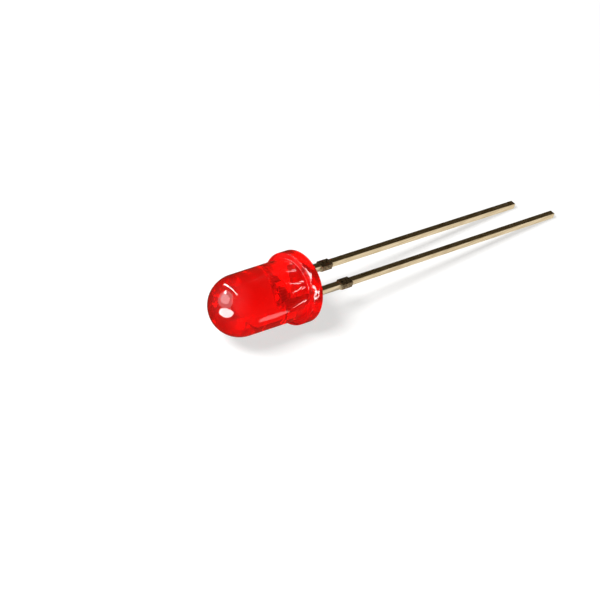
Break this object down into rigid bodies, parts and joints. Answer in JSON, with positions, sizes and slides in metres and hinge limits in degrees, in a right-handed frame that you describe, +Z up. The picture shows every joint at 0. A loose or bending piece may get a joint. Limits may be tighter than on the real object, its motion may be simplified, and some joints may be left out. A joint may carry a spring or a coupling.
{
  "type": "through hole led",
  "caption": "Red round-lens indicator light with a flanged clear epoxy body and straight square leads of unequal length.",
  "frame": {"origin": "on the surface that the part lies on, under the middle of its length from the dome to the longer lead's tip", "axes": "+Z up, +X from the dome towards the lead tips, +Y towards the cathode side"},
  "size_m": [0.0368, 0.0058, 0.006],
  "materials": {
    "red_epoxy": "transparent red cast epoxy with a polished mould surface",
    "plated_lead": "pale gold plated stamped sheet, darker and rough where the tie bar was sheared",
    "silver_epoxy": "dull silver-filled adhesive",
    "semiconductor": "dark polished crystal",
    "gold_wire": "drawn gold wire"
  },
  "bodies": {
    "root": {"lens": "red_epoxy", "cathode_lead": "plated_lead", "anode_lead": "plated_lead", "die_attach": "silver_epoxy", "chip": "semiconductor", "bond_wire": "gold_wire"}
  },
  "joints": []
}
